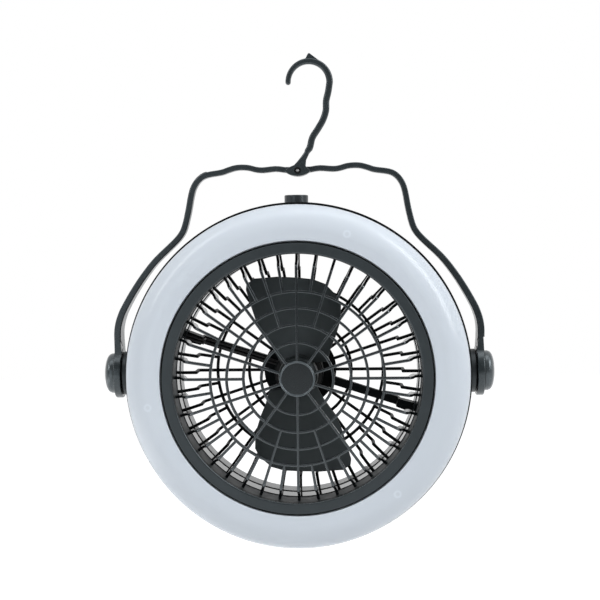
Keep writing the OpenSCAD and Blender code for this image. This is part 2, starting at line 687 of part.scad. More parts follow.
// Spring clips that grip the cells and the contacts at their ends, standing on the housing's back wall
module battery_clips() color(steel) in_place() for (a = cell_angles) at_angle(a) {
    for (z = [-20, 20]) {
        difference() {
            translate([cell_ring_r, cell_y, z - 4]) bar_z(cell_r + 0.7, 0, 8);
            translate([cell_ring_r, cell_y, z - 5]) bar_z(cell_r + 0.02, 0, 10);
            box([0, 120], [-20, cell_y], [z - 5, z + 5]);
        }
        box([cell_ring_r - 4, cell_ring_r + 1], [cell_y + cell_r + 0.4, back_y - wall], [z - 4, z + 4]);
    }
    for (m = [0, 1]) mirror([0, 0, m]) translate([0, 0, cell_l / 2]) {
        box([77, 86], [cell_y - 3.5, board_y[0] - 0.4], [0, contact_t]);
        box([69.8, 78], [cell_y - 3.5, back_y - wall], [0, contact_t]);
    }
}

// Bent wire about the fan's axis, from angle a0 to a1
module wire_arc(r, thick_r, y, a0, a1) rotate([-90, 0, 0]) rotate([0, 0, -a1])
    rotate_extrude(angle = a1 - a0) translate([r, y]) circle(r = thick_r, $fn = 24);

// Straight wire at depth y, from radius r0 to r1
module wire_out(y, r0, r1) translate([r0, y, 0]) rotate([0, 90, 0]) cylinder(r = wire_r, h = r1 - r0);

// Along the bridge, forward at its step, out through the duct wall and round to the control board
module motor_leads() color(copper) in_place() for (s = [-1, 1]) {
    r = wire_ring_r + (s - 1) * wire_step / 2;
    at_angle(bridge_angle) translate([0, 0, s * wire_step / 2]) {
        wire_out(lead_in_y, motor_r, lead_r + wire_r);
        translate([lead_r, 0, 0]) bar_y(wire_r - 0.1, lead_out_y, lead_in_y);
        wire_out(lead_out_y, lead_r - wire_r, r);
    }
    wire_arc(r, wire_r - 0.1, lead_out_y, lead_end, bridge_angle + s * asin(wire_step / 2 / r));
    at_angle(lead_end) translate([r, 0, 0]) bar_y(wire_r, lead_out_y - wire_r, board_y[0]);
}

module battery_leads() color(copper) in_place() {
    reach = asin((cell_l / 2 + contact_t + run_fit) / wire_ring_r);
    y = board_y[0] - wire_r;
    wire_arc(wire_ring_r, wire_r, y, cell_angles[1] + reach - 360, 74);
    wire_arc(wire_ring_r, wire_r, y, 99, cell_angles[0] - reach);
    wire_arc(wire_ring_r, wire_r, y, cell_angles[0] + reach, cell_angles[1] - reach);
}

module led_leads() color(copper) in_place() for (x = [-0.7, 0.7])
    translate([light_lead[0] + x, 0, light_lead[1]]) bar_y(0.6, frame_front_y, board_y[0]);

hook();
bail();
hook_screw();
friction_washers();
left_pivot_cap();
right_pivot_cap();
rear_housing();
rear_grille();
inner_frame();
diffuser_ring();
front_grille();
led_board();
leds();
pivot_bushings();
pivot_screws();
diffuser_screws();
grille_screws();
housing_screws();
motor_can();
motor_magnets();
motor_end_cap();
motor_clamp();
motor_screws();
control_board();
speed_switch();
light_switch();
charging_socket();
battery_cells();
battery_clips();
motor_leads();
battery_leads();
led_leads();
fan_rotor();
motor_shaft();
motor_armature();
speed_knob();
switch_shaft();
light_button();
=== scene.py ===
"""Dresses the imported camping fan: mouldings, guards, blades, light ring and finishes, with a studio round it.

Sizes are in metres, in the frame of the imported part: +Z is up, and the fan blows towards -Y.
Points are given from the fan's own axis, and depths from 5 mm behind the rear shell's rim.
"""

import math

import bmesh
import bpy
from mathutils import Matrix, Vector


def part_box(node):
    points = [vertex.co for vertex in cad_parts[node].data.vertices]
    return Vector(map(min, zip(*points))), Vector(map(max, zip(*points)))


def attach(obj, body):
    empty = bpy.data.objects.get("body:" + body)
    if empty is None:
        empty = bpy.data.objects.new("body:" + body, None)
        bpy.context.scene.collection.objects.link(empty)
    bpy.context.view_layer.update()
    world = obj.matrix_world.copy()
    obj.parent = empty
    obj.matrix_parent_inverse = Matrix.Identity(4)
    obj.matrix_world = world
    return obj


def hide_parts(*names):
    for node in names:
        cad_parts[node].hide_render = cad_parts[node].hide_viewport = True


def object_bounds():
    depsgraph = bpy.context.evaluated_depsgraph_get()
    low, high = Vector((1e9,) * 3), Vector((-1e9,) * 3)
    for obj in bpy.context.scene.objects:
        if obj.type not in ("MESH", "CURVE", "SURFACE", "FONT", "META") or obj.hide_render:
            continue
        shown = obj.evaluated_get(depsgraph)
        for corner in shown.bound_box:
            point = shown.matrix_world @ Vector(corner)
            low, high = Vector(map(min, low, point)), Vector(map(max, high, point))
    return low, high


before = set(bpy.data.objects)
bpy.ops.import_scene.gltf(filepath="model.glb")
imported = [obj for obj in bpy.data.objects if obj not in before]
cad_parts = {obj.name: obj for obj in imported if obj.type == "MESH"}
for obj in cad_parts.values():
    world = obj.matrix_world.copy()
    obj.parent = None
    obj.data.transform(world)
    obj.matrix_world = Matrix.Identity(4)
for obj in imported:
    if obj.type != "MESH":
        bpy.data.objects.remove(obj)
CAD_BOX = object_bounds()

bl_info = {
    "name": "Camping fan",
    "version": (1, 0, 0),
    "blender": (4, 5, 0),
    "location": "3D View > Sidebar > Camping fan",
    "description": "Builds the visible pieces of a hanging fan with a ring light",
    "category": "Add Mesh",
}

MM = 0.001
LIGHT_LOW, LIGHT_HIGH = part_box("diffuser_ring")
AXIS_X = (LIGHT_LOW.x + LIGHT_HIGH.x) / 2
AXIS_Z = (LIGHT_LOW.z + LIGHT_HIGH.z) / 2
LIGHT_R = (LIGHT_HIGH.x - LIGHT_LOW.x) / 2
DATUM_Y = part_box("rear_housing")[0].y + 5 * MM
PIVOT_LOW, PIVOT_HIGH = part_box("left_pivot_cap")
TILT_Y = (PIVOT_LOW.y + PIVOT_HIGH.y) / 2
TILT_Z = (PIVOT_LOW.z + PIVOT_HIGH.z) / 2
SCREW_LOW, SCREW_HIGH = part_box("hook_screw")
FOLD_X = (SCREW_LOW.x + SCREW_HIGH.x) / 2
FOLD_Z = (SCREW_LOW.z + SCREW_HIGH.z) / 2


# ---------- Settings ----------


def length(name, default, description):
    return bpy.props.FloatProperty(
        name=name, default=default, description=description, unit="LENGTH", precision=5
    )


def colour(name, default, description):
    return bpy.props.FloatVectorProperty(
        name=name, default=default, description=description, subtype="COLOR", size=3, min=0, max=1
    )


def level(name, default, top, description, unit="NONE"):
    return bpy.props.FloatProperty(
        name=name, default=default, min=0, max=top, description=description, unit=unit
    )


class FAN_PG_guards(bpy.types.PropertyGroup):
    """Sizes of the two guards and the duct"""

    duct_r: length("Duct radius", 71 * MM, "Inside radius of the air duct")
    sleeve_t: length("Sleeve wall", 2 * MM, "Wall of the sleeve behind the bezel")
    step: length("Duct step", 0.4 * MM, "Step in radius between the stretches of the duct")
    bezel_r: length("Bezel radius", 78 * MM, "Outside radius of the bezel round the front guard")
    hub_r: length("Hub radius", 10.3 * MM, "Radius of the flat hub")
    rib_w: length("Rib width", 1.6 * MM, "Width of a rib or ring of the front guard")
    rear_w: length("Rear rib width", 1.7 * MM, "Width of a rib or ring of the rear guard")
    rib_round: length("Rib rounding", 0.42 * MM, "Rounding of the edges of ribs and rings")
    spokes: bpy.props.IntProperty(name="Spokes", default=10, min=8, max=10, description="Spokes at the hub")


class FAN_PG_light(bpy.types.PropertyGroup):
    """Sizes of the ring light's diffuser"""

    bulge: length("Bulge", 12.5 * MM, "How far the diffuser stands in front of its rim")
    crown_r: length("Crown radius", 84.5 * MM, "Radius at which the diffuser is highest")
    wall: length("Wall", 2 * MM, "Wall of the diffuser")
    sink_depth: length("Sink mark depth", 0.15 * MM, "Depth of the marks over the screw bosses")
    boss_r: length("Boss radius", 86.9 * MM, "Radius at which the screw bosses stand")
    rim_stand: length("Rim stand", 1.35 * MM, "How far the shell's rim stands out from the diffuser")
    groove: length("Groove", 0.5 * MM, "Gap between the diffuser and the bezel")


class FAN_PG_mouldings(bpy.types.PropertyGroup):
    """Roundings of the moulded parts"""

    strap_round: length("Strap rounding", 0.7 * MM, "Rounding of the bail's edges")
    hook_round: length("Hook rounding", 1.1 * MM, "Rounding of the hook's edges")
    shell_round: length("Shell rounding", 0.5 * MM, "Rounding of the housing's edges")
    cap_r: length("Cap radius", 11.8 * MM, "Radius of the pivot caps")
    cap_rim: length("Cap rim", 2.6 * MM, "Height of the pivot cap's straight rim")


class FAN_PG_colours(bpy.types.PropertyGroup):
    """Colours of the finishes"""

    bail: colour("Bail and hook", (0.019, 0.024, 0.026), "Dark grey nylon of the bail and the hook")
    cap: colour("Pivot caps", (0.037, 0.044, 0.047), "Dark grey nylon of the pivot caps")
    housing: colour("Housing", (0.010, 0.012, 0.013), "Dark grey plastic of the rear shell")
    bezel: colour("Bezel", (0.016, 0.020, 0.022), "Dark grey plastic of the front guard")
    rotor: colour("Rotor", (0.017, 0.021, 0.021), "Black plastic of the blades")
    black: colour("Black", (0.003, 0.0036, 0.0036), "Black plastic of the rear guard")
    dial: colour("Dial", (0.024, 0.028, 0.030), "Black plastic of the dial")
    milky: colour("Diffuser", (0.562, 0.604, 0.653), "Milky plastic of the diffuser")
    floor: colour("Floor", (0.86, 0.86, 0.86), "Pale floor and backdrop")


class FAN_PG_stage(bpy.types.PropertyGroup):
    """Levels of the studio"""

    floor_drop: length("Floor drop", 0.30, "How far the floor lies below the hanging fan")
    room: level("Room", 0.54, 2, "Level of the even light")
    behind: level("Behind", 0.12, 1, "Tone behind the camera")
    key: level("Key", 4.0, 50, "Power of the top lamp", "POWER")
    fill: level("Fill", 6.5, 50, "Power of the right lamp", "POWER")
    front: level("Front", 1.4, 50, "Power of the front lamp", "POWER")


GROUPS = {
    "fan_guards": FAN_PG_guards,
    "fan_light": FAN_PG_light,
    "fan_mouldings": FAN_PG_mouldings,
    "fan_colours": FAN_PG_colours,
    "fan_stage": FAN_PG_stage,
}


# ---------- Modelling by hand ----------


def body_point(x, y, z):
    """The place of a point given from the fan's own axis."""
    return Vector((AXIS_X + x, DATUM_Y + y, AXIS_Z + z))


def off_axis(point):
    """How far a point lies from the fan's axis."""
    return math.hypot(point.x - AXIS_X, point.z - AXIS_Z)


def off_fold(point):
    """How far a point lies from the axis that the hook folds on."""
    return math.hypot(point.x - FOLD_X, point.z - FOLD_Z)


def arc(x, y, reach, start, end, steps, tall=None):
    """Points on an arc about (x, y), from the start to the end in degrees."""
    turns = (math.radians(start + (end - start) * i / steps) for i in range(steps + 1))
    return [(x + reach * math.cos(a), y + (reach if tall is None else tall) * math.sin(a)) for a in turns]


def deselect():
    if bpy.context.mode != "OBJECT":
        bpy.ops.object.mode_set(mode="OBJECT")
    bpy.ops.object.select_all(action="DESELECT")


def make_active(obj):
    deselect()
    obj.select_set(True)
    bpy.context.view_layer.objects.active = obj


def edit(obj):
    """Opens the mesh in edit mode with nothing selected."""
    make_active(obj)
    bpy.ops.object.mode_set(mode="EDIT")
    bpy.ops.mesh.select_all(action="DESELECT")
    return bmesh.from_edit_mesh(obj.data)


def close_edit():
    bpy.ops.object.mode_set(mode="OBJECT")


def pick(obj, kind, test):
    """Selects the vertices or edges that pass the test, and says how many did."""
    bpy.ops.mesh.select_mode(type={"verts": "VERT", "edges": "EDGE"}[kind])
    bpy.ops.mesh.select_all(action="DESELECT")
    mesh = bmesh.from_edit_mesh(obj.data)
    mesh.normal_update()
    found = [part for part in getattr(mesh, kind) if test(part)]
    for part in found:
        part.select_set(True)
    mesh.select_flush_mode()
    bmesh.update_edit_mesh(obj.data)
    return len(found)


def outline(name, points, filled=True):
    """A circle whose vertices are moved to the points, in edit mode."""
    deselect()
    bpy.ops.mesh.primitive_circle_add(vertices=len(points), fill_type="NGON" if filled else "NOTHING")
    obj = bpy.context.object
    obj.name = obj.data.name = name
    bpy.ops.object.mode_set(mode="EDIT")
    mesh = bmesh.from_edit_mesh(obj.data)
    mesh.verts.ensure_lookup_table()
    for vertex, point in zip(mesh.verts, points):
        vertex.co = point
    bmesh.update_edit_mesh(obj.data)
    return obj


def tidy_shell():
    """Merges doubles and points the faces outwards, in edit mode."""
    bpy.ops.mesh.select_all(action="SELECT")
    bpy.ops.mesh.remove_doubles(threshold=1e-6)
    bpy.ops.mesh.normals_make_consistent(inside=False)


def spun(name, points, centre, axis, steps):
    """A flat profile turned all the way round an axis."""
    obj = outline(name, points, filled=False)
    bpy.ops.mesh.select_all(action="SELECT")
    bpy.ops.mesh.spin(steps=steps, angle=2 * math.pi, center=centre, axis=axis)
    tidy_shell()
    close_edit()
    return obj


def turned(name, profile, steps=144):
    """A profile of (radius, depth) turned about the fan's axis."""
    return spun(name, [body_point(r, y, 0) for r, y in profile], body_point(0, 0, 0), (0, 1, 0), steps)


def pushed(name, points, push):
    """A flat outline pushed out to a solid."""
    obj = outline(name, points)
    bpy.ops.mesh.select_all(action="SELECT")
    bpy.ops.mesh.extrude_region_move(TRANSFORM_OT_translate={"value": push})
    tidy_shell()
    close_edit()
    return obj


def sharp(limit):
    """A test for edges whose faces meet at more than the limit."""
    return lambda edge: len(edge.link_faces) == 2 and edge.calc_face_angle(0) > math.radians(limit)


def round_edges(obj, radius, segments=3, limit=30, where=None):
    """Rounds the sharp edges, or those of them that lie where the caller says."""
    is_sharp = sharp(limit)

    def chosen(edge):
        return is_sharp(edge) and (where is None or where((edge.verts[0].co + edge.verts[1].co) / 2))

    edit(obj)
    if pick(obj, "edges", chosen):
        bpy.ops.mesh.bevel(offset=radius, segments=segments, profile=0.5, affect="EDGES", clamp_overlap=False)
    close_edit()


def smooth(obj, limit=40):
    """Shades the curved faces as curved and keeps the flat ones flat."""
    make_active(obj)
    bpy.ops.object.shade_smooth_by_angle(angle=math.radians(limit))
    modifier = obj.modifiers.new("flat_faces", "WEIGHTED_NORMAL")
    modifier.keep_sharp = True
    bpy.ops.object.modifier_apply(modifier=modifier.name)


def joined(name, objects):
    """One piece from several, under the name given."""
    make_active(objects[0])
    for obj in objects[1:]:
        obj.select_set(True)
    bpy.ops.object.join()
    obj = bpy.context.object
    obj.name = obj.data.name = name
    return obj


def turned_copy(obj, angle):
    """A copy with its own mesh, turned anticlockwise about the fan's axis as seen from the front."""
    made = obj.copy()
    made.data = obj.data.copy()
    bpy.context.collection.objects.link(made)
    centre = Matrix.Translation(body_point(0, 0, 0))
    made.data.transform(centre @ Matrix.Rotation(math.radians(-angle), 4, (0, 1, 0)) @ centre.inverted())
    return made


def mould_copy(node, name):
    """A copy of a solid of the part, its triangles merged into whole faces."""
    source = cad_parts[node]
    obj = bpy.data.objects.new(name, source.data.copy())
    bpy.context.collection.objects.link(obj)
    make_active(obj)
    if obj.data.has_custom_normals:
        bpy.ops.mesh.customdata_custom_splitnormals_clear()
    edit(obj)
    bpy.ops.mesh.select_all(action="SELECT")
    bpy.ops.mesh.remove_doubles(threshold=2e-6)
    bpy.ops.mesh.dissolve_limited(angle_limit=math.radians(0.4))
    close_edit()
    return obj


def finish_piece(obj, body, material, slot, *nodes):
    """Gives a piece its material and its place in the part."""
    obj.data.materials.clear()
    obj.data.materials.append(material)
    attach(obj, body)
    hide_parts(*nodes)


def refinish(obj, material, test):
    """Gives the faces that pass the test another material."""
    obj.data.materials.append(material)
    for face in obj.data.polygons:
        if test(face):
            face.material_index = len(obj.data.materials) - 1


# ---------- Finishes ----------


def combined(tree, operation, first, second):
    """A math node over two values, each a number or another node's."""
    made = tree.nodes.new("ShaderNodeMath")
    made.operation = operation
    for socket, value in zip(made.inputs, (first, second)):
        if isinstance(value, bpy.types.NodeSocket):
            tree.links.new(value, socket)
        else:
            socket.default_value = value
    return made.outputs[0]


def shown_white(tree):
    """One on a ray from the camera, also by way of a mirror or glass."""
    path = tree.nodes.new("ShaderNodeLightPath").outputs
    mirrored = combined(tree, "MAXIMUM", path["Is Glossy Ray"], path["Is Transmission Ray"])
    return combined(tree, "MAXIMUM", path["Is Camera Ray"], mirrored)


class Finish:
    """A material with a Principled shader, and short ways to add the nodes that drive it."""

    def __init__(self, name):
        self.material = bpy.data.materials.new(name)
        self.material.use_nodes = True
        self.tree = self.material.node_tree
        self.shader = self.tree.nodes["Principled BSDF"]
        self.place = self.tree.nodes.new("ShaderNodeTexCoord").outputs["Object"]

    def set(self, **values):
        for socket, value in values.items():
            self.shader.inputs[socket.replace("_", " ")].default_value = value

    def link(self, source, socket):
        self.tree.links.new(source, self.shader.inputs[socket])

    def add(self, kind, source, socket, **values):
        """The outputs of a node with its values set and one socket fed from the source."""
        made = self.tree.nodes.new(kind)
        for name, value in values.items():
            made.inputs[name.replace("_", " ")].default_value = value
        self.tree.links.new(source, made.inputs[socket])
        return made.outputs

    def noise(self, scale, detail, stretch=None):
        place = self.place
        if stretch:
            place = self.add("ShaderNodeMapping", place, "Vector", Scale=stretch)["Vector"]
        return self.add("ShaderNodeTexNoise", place, "Vector", Scale=scale, Detail=detail)["Fac"]

    def span(self, source, low, high, start=0.3, end=0.7):
        """Values from start to end spread from low to high."""
        limits = {"From_Min": start, "From_Max": end, "To_Min": low, "To_Max": high}
        return self.add("ShaderNodeMapRange", source, "Value", **limits)["Result"]

    def tones(self, source, first, second):
        """A mix of two tones, each a colour or another node's."""
        made = self.tree.nodes.new("ShaderNodeMix")
        made.data_type = "RGBA"
        for socket, tone in ((made.inputs[6], first), (made.inputs[7], second)):
            if isinstance(tone, bpy.types.NodeSocket):
                self.tree.links.new(tone, socket)
            else:
                socket.default_value = (*tone, 1)
        self.tree.links.new(source, made.inputs[0])
        return made.outputs[2]

    def away(self, point):
        """Distance from a point of the part."""
        made = self.tree.nodes.new("ShaderNodeVectorMath")
        made.operation = "DISTANCE"
        made.inputs[1].default_value = point
        self.tree.links.new(self.place, made.inputs[0])
        return made.outputs["Value"]

    def bump(self, source, depth, strength):
        return self.add("ShaderNodeBump", source, "Height", Strength=strength, Distance=depth)["Normal"]


def shade(tint, factor):
    return tuple(min(1.0, c * factor) for c in tint)


def moulded(name, tint, rough, grain=2400, depth=0.02 * MM, spread=0.05, gloss=0.5):
    """Moulded plastic with a fine spark texture, faint flow marks and a cool gloss."""
    finish = Finish(name)
    flow = finish.span(finish.noise(38, 3), 0, 1)
    finish.link(finish.tones(flow, shade(tint, 0.86), shade(tint, 1.16)), "Base Color")
    finish.link(finish.span(finish.noise(240, 3), rough - spread, rough + spread), "Roughness")
    finish.link(finish.bump(finish.noise(grain, 2), depth, 0.5), "Normal")
    finish.set(Specular_IOR_Level=gloss, Specular_Tint=(0.86, 0.95, 1, 1))
    return finish.material


def milky(name, tint, bosses):
    """Milky satin plastic, a little uneven in tone, with painted lighter rings where the screw bosses behind it
    show through.
    """
    finish = Finish(name)
    tone = finish.tones(finish.span(finish.noise(9, 1), 0, 1), shade(tint, 0.985), shade(tint, 1.015))
    screw_hole, edge = (0.8 * MM, 1.5 * MM), (1.9 * MM, 2.7 * MM)
    # Painted light: each boss gets a lighter ring for how it shows through the milky wall.
    for boss in bosses:
        away = finish.away(boss)
        within, beyond = finish.span(away, 1, 0, *edge), finish.span(away, 0, 1, *screw_hole)
        tone = finish.tones(combined(finish.tree, "MULTIPLY", within, beyond), tone, shade(tint, 1.09))
    finish.link(tone, "Base Color")
    finish.link(finish.span(finish.noise(190, 3), 0.21, 0.25), "Roughness")
    finish.link(finish.bump(finish.noise(1500, 2), 0.003 * MM, 0.3), "Normal")
    finish.set(Subsurface_Weight=0.25, Subsurface_Radius=(1.0, 1.0, 1.1), Subsurface_Scale=0.0012)
    finish.set(IOR=1.38, Specular_IOR_Level=0.5)
    return finish.material


def metal(name, tint, rough, stretch, grain=900):
    """Plated metal with fine marks along one way."""
    finish = Finish(name)
    marks = finish.noise(grain, 3, stretch)
    finish.link(finish.tones(finish.span(marks, 0, 1), shade(tint, 0.88), shade(tint, 1.08)), "Base Color")
    finish.link(finish.span(marks, rough - 0.08, rough + 0.08), "Roughness")
    finish.link(finish.bump(marks, 0.01 * MM, 0.4), "Normal")
    finish.set(Metallic=1.0)
    return finish.material


def glint_and_wear_head(name, tint, bare_glint_tone, centre, near, far):
    """Blackened metal, bright and bare round the centre: a painted glint, and also wear from the driver."""
    finish = Finish(name)
    marks = finish.noise(1600, 3)
    # The bright bare centre is a painted glint on the screw head, and also wear from the driver.
    glint_and_wear_mask = finish.span(finish.away(centre), 1, 0, near, far)
    patchy = combined(finish.tree, "MULTIPLY", glint_and_wear_mask, finish.span(marks, 0.3, 1, 0.42, 0.55))
    finish.link(finish.tones(patchy, tint, bare_glint_tone), "Base Color")
    finish.link(finish.span(marks, 0.22, 0.38), "Roughness")
    finish.link(finish.bump(marks, 0.02 * MM, 0.5), "Normal")
    finish.set(Metallic=1.0)
    return finish.material


def coated(name, tint, second, rough, scale):
    """Painted, masked or sleeved finish in two tones."""
    finish = Finish(name)
    spots = finish.noise(scale, 3)
    finish.link(finish.tones(finish.span(spots, 0, 1, 0.4, 0.6), tint, second), "Base Color")
    finish.link(finish.span(spots, rough - 0.06, rough + 0.06), "Roughness")
    finish.link(finish.bump(spots, 0.02 * MM, 0.4), "Normal")
    return finish.material


BOSS_ANGLES = (70.5, 190.5, 310.5)


def boss_places(sizes):
    """Where the three screw bosses meet the front of the diffuser."""
    depth = LIGHT_LOW.y - DATUM_Y + 0.02 * sizes.bulge
    angles = map(math.radians, BOSS_ANGLES)
    return [body_point(sizes.boss_r * math.cos(a), depth, sizes.boss_r * math.sin(a)) for a in angles]


def make_finishes(scene):
    """All the materials, by name."""
    colours = scene.fan_colours
    bezel, shell = colours.bezel, colours.housing
    screw_middle = Vector((FOLD_X, SCREW_LOW.y + 0.6 * MM, FOLD_Z))
    return {
        "nylon": moulded("dark_nylon", colours.bail, 0.25, depth=0.015 * MM, gloss=0.6),
        "shell": moulded("shell_plastic", shell, 0.48),
        "bezel": moulded("bezel_plastic", bezel, 0.40),
        "web": moulded("guard_plastic", shade(bezel, 0.35), 0.18, depth=0.006 * MM, spread=0.03, gloss=0.95),
        "hub": moulded("hub_plastic", shade(bezel, 0.2), 0.2, depth=0.002 * MM, spread=0.03, gloss=0.7),
        # The hub's rim bead gets a lighter colour as a painted highlight.
        "bead": moulded("polished_bead", shade(bezel, 1.9), 0.14, depth=0.003 * MM, spread=0.02, gloss=1.0),
        "cap": moulded("cap_nylon", colours.cap, 0.24, depth=0.01 * MM, gloss=0.7),
        "sleeve": moulded("matte_sleeve_plastic", shade(bezel, 1.6), 0.5, gloss=0.4),
        "wall": moulded(
            "satin_wall_plastic", shade(shell, 1.2), 0.26, depth=0.005 * MM, spread=0.03, gloss=0.6
        ),
        "liner": moulded("polished_liner", colours.black, 0.1, depth=0.002 * MM, spread=0.03, gloss=0.7),
        "rear": moulded("black_guard_plastic", colours.black, 0.5, gloss=0.12),
        "rotor": moulded("rotor_plastic", colours.rotor, 0.42),
        "dial": moulded("dial_plastic", colours.dial, 0.3, depth=0.008 * MM, spread=0.02),
        "rubber": moulded("soft_rubber", (0.012, 0.012, 0.012), 0.75, grain=1500, gloss=0.3),
        "milky": milky("milky_diffuser", colours.milky, boss_places(scene.fan_light)),
        "zinc": metal("zinc_plate", (0.62, 0.63, 0.65), 0.32, (1, 6, 1)),
        "nickel": metal("nickel_plate", (0.66, 0.65, 0.62), 0.24, (1, 1, 8)),
        # The hook screw's bright centre is a painted glint as well as wear.
        "worn": glint_and_wear_head(
            "worn_screw", (0.03, 0.03, 0.03), (0.9, 0.9, 0.9), screw_middle, 0.75 * MM, 1.15 * MM
        ),
        "oxide": metal("black_oxide", (0.03, 0.03, 0.03), 0.45, (1, 6, 1)),
        "copper": metal("winding_copper", (0.72, 0.34, 0.18), 0.38, (1, 14, 1), 600),
        "ferrite": coated("ferrite", (0.035, 0.035, 0.036), (0.06, 0.06, 0.06), 0.72, 900),
        "white_mask": coated("white_solder_mask", (0.78, 0.78, 0.75), (0.84, 0.84, 0.82), 0.45, 300),
        "green_mask": coated("green_solder_mask", (0.015, 0.12, 0.045), (0.03, 0.19, 0.08), 0.4, 260),
        "phosphor": coated("lamp_phosphor", (0.82, 0.62, 0.12), (0.9, 0.74, 0.25), 0.35, 1200),
        "sleeve_blue": coated("cell_sleeve", (0.02, 0.06, 0.26), (0.03, 0.09, 0.34), 0.3, 60),
        "wire": coated("wire_jacket", (0.012, 0.012, 0.012), (0.03, 0.028, 0.028), 0.5, 400),
    }


# ---------- Pieces ----------


FINISHES = {}


class FanOperator:
    """What the operators share."""

    bl_options = {"REGISTER", "UNDO"}

    @property
    def finishes(self):
        if not FINISHES:
            FINISHES.update(make_finishes(bpy.context.scene))
        return FINISHES


# The hook's shape in millimetres from the fan's axis: the middle line of its stem up to the curl, and the
# two sides of its foot. The barb is given from the middle of the curl. The lens is the foot's rounded
# bottom, by half its width and by its depth.
STEM = (
    (3.4, 126.6), (7.6, 132.3), (9.4, 138.6), (12.8, 143.9), (15.8, 149.1), (17.5, 154.5), (17.7, 160),
    (19, 165.5),
)  # fmt: skip
FOOT_LEFT = ((-5.2, 121.05), (-3.2, 122.1), (-1.5, 122.75), (0.3, 124.6), (2.8, 127.8), (4.6, 130.3))
FOOT_RIGHT = ((7.6, 129.6), (5.6, 125.6), (5.35, 122.3), (5.9, 121.3))
LENS = (7.6, 3.25)
CURL_R, STEM_W, TIP_W = 10.4, 3.9, 3.1
BARB = ((-2.1, 12.9), (-0.3, 16.3), (0.3, 16.8), (0.9, 16.6), (10, 9.6), (9.2, 8.5), (0, 11.6))


def curved(points, steps):
    """A smooth curve through the points."""
    made = []
    last = len(points) - 1
    for i in range(last):
        a, b, c, d = (Vector(points[min(max(k, 0), last)]) for k in (i - 1, i, i + 1, i + 2))
        square, cube = 2 * a - 5 * b + 4 * c - d, 3 * b - a - 3 * c + d
        for k in range(steps):
            t = k / steps
            made.append(0.5 * (2 * b + (c - a) * t + square * t**2 + cube * t**3))
    return made + [Vector(points[-1])]


def hook_outline(seat):
    """The hook's outline from the front, in millimetres from the fan's axis."""
    line = curved([*STEM, (seat[0] + CURL_R + STEM_W / 2, seat[1])], 4)
    sides = {1: [], -1: []}
    for i, point in enumerate(line):
        along = line[min(i + 1, len(line) - 1)] - line[max(i - 1, 0)]
        across = Vector((-along.y, along.x)).normalized() * STEM_W / 2
        for side in sides:
            sides[side].append(point + side * across)
    left_from, right_from, below = 131.4, 130.2, seat[1] - 0.5
    left = [tuple(p) for p in sides[1] if left_from < p.y < below]
    right = [tuple(p) for p in sides[-1] if right_from < p.y < below]
    outer = arc(seat[0] + (STEM_W - TIP_W) / 2, seat[1], CURL_R + (STEM_W + TIP_W) / 2, 0, 180, 30)
    inner = arc(*seat, CURL_R, 0, 180, 30)
    tip = arc(seat[0] - CURL_R - TIP_W / 2, seat[1], TIP_W / 2, 0, -180, 8)[1:-1]
    x, z = (FOLD_X - AXIS_X) / MM, (FOLD_Z - AXIS_Z) / MM
    half, drop = LENS
    turns = (math.pi * i / 16 for i in range(1, 16))
    under = [(x + half * math.cos(a), z - drop * math.sin(a) ** 1.3) for a in turns]
    lens = [(x + half - 0.35, z + 0.3), (x + half, z), *under, (x - half, z), (x - half + 0.35, z + 0.3)]
    return [*FOOT_LEFT, *left, *inner, *tip, *reversed(outer), *reversed(right), *FOOT_RIGHT, *lens]


class FAN_OT_hook(FanOperator, bpy.types.Operator):
    """Adds the hanging hook with its rounded edges and the seat of its screw"""

    bl_idname = "fan.hook"
    bl_label = "Hook"

    def execute(self, context):
        low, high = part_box("hook")
        depth = high.y - low.y

        def placed(points, y):
            return [Vector((AXIS_X + x * MM, y, AXIS_Z + z * MM)) for x, z in points]

        seat = (-AXIS_X / MM, -AXIS_Z / MM)
        hook = pushed("hanging_hook", placed(hook_outline(seat), low.y), (0, depth, 0))
        front, behind, head_end = low.y - 1 * MM, high.y + 1 * MM, low.y + 1.4 * MM
        shank_r, head_r = 1.3 * MM, 2 * MM
        for radius, end in ((shank_r, behind), (head_r, head_end)):
            deselect()
            bpy.ops.mesh.primitive_cylinder_add(
                vertices=48, radius=radius, depth=end - front, location=(FOLD_X, (front + end) / 2, FOLD_Z),
                rotation=(math.pi / 2, 0, 0),
            )  # fmt: skip
            drill = context.object
            bpy.ops.object.transform_apply(location=True, rotation=True, scale=True)
            make_active(hook)
            cut = hook.modifiers.new("screw_seat", "BOOLEAN")
            cut.operation, cut.object, cut.solver = "DIFFERENCE", drill, "EXACT"
            bpy.ops.object.modifier_apply(modifier=cut.name)
            bpy.data.objects.remove(drill)
        rounding, foot_rounding, barb_rounding = context.scene.fan_mouldings.hook_round, 0.4 * MM, 0.35 * MM
        clear, foot_top, inset = 2.4 * MM, FOLD_Z + 5 * MM, 0.5 * MM
        round_edges(hook, rounding, segments=4, limit=50, where=lambda p: p.z > foot_top)
        round_edges(
            hook, foot_rounding, segments=2, limit=50, where=lambda p: p.z < foot_top and off_fold(p) > clear
        )
        barb = placed([(seat[0] + x, seat[1] + z) for x, z in BARB], low.y + inset)
        barb = pushed("barb", barb, (0, depth - 2 * inset, 0))
        round_edges(barb, barb_rounding, limit=20)
        hook = joined("hanging_hook", [hook, barb])
        smooth(hook)
        finish_piece(hook, "hook", self.finishes["nylon"], "bail_plastic", "hook")
        return {"FINISHED"}


